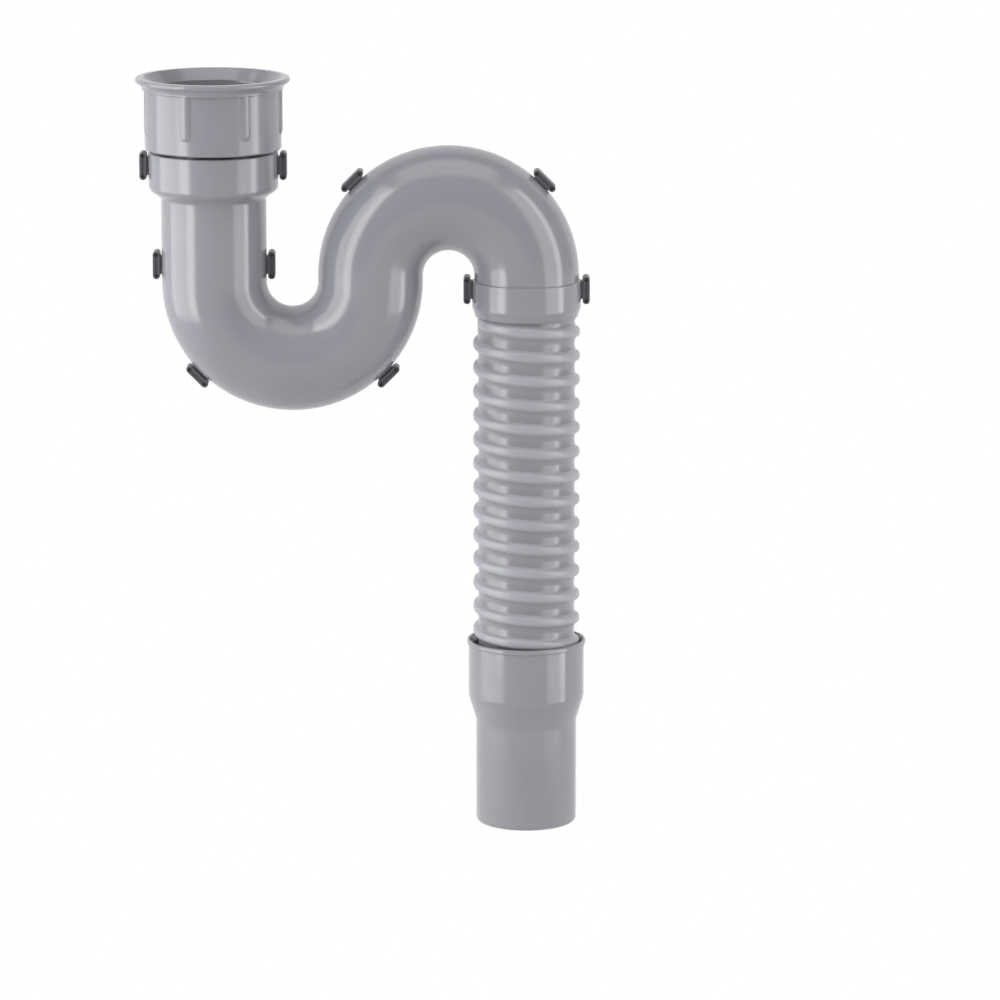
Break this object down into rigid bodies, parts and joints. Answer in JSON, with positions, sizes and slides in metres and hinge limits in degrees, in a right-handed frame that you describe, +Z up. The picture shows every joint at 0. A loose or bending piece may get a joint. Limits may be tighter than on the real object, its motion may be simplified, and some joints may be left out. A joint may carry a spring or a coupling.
{
  "type": "flexible waste hose",
  "caption": "Grey S-shaped waste trap with a ribbed coupling nut, a flexible spirally ribbed hose and a stepped push-fit tail.",
  "frame": {"origin": "centre of the sealing face inside the coupling nut, on the top of the washer, where the waste outlet of a basin seats", "axes": "+Z up along the inlet, out of the mouth of the nut; +X from the inlet to the outlet leg; Y across the seam plane of the trap, -Y being the front"},
  "size_m": [0.1785, 0.0608, 0.3004],
  "materials": {
    "nut_plastic": "moulded grey polypropylene, glossy",
    "washer_rubber": "black rubber, satin",
    "trap_plastic": "moulded grey PVC, glossy",
    "clip_plastic": "darker grey plastic, satin",
    "hose_plastic": "soft grey PVC, half gloss",
    "tail_plastic": "moulded grey PVC, glossy"
  },
  "bodies": {
    "trap": {"front_shell": "trap_plastic", "back_shell": "trap_plastic", "seam_clips": "clip_plastic", "inlet_washer": "washer_rubber", "hose": "hose_plastic"},
    "nut": {"coupling_nut": "nut_plastic"},
    "tail": {"tail_adapter": "tail_plastic"}
  },
  "joints": [
    {"name": "nut_spin", "type": "hinge", "parent": "trap", "child": "nut", "pos_m": [0, 0, 0], "axis": [0, 0, 1], "continuous": true},
    {"name": "hose_bend", "type": "hinge", "parent": "trap", "child": "tail", "pos_m": [0.1232, 0, -0.1412], "axis": [0, 1, 0], "range_deg": [-45, 45], "stiffness_Nm_per_rad": 0.6, "deforming": ["hose"]}
  ]
}
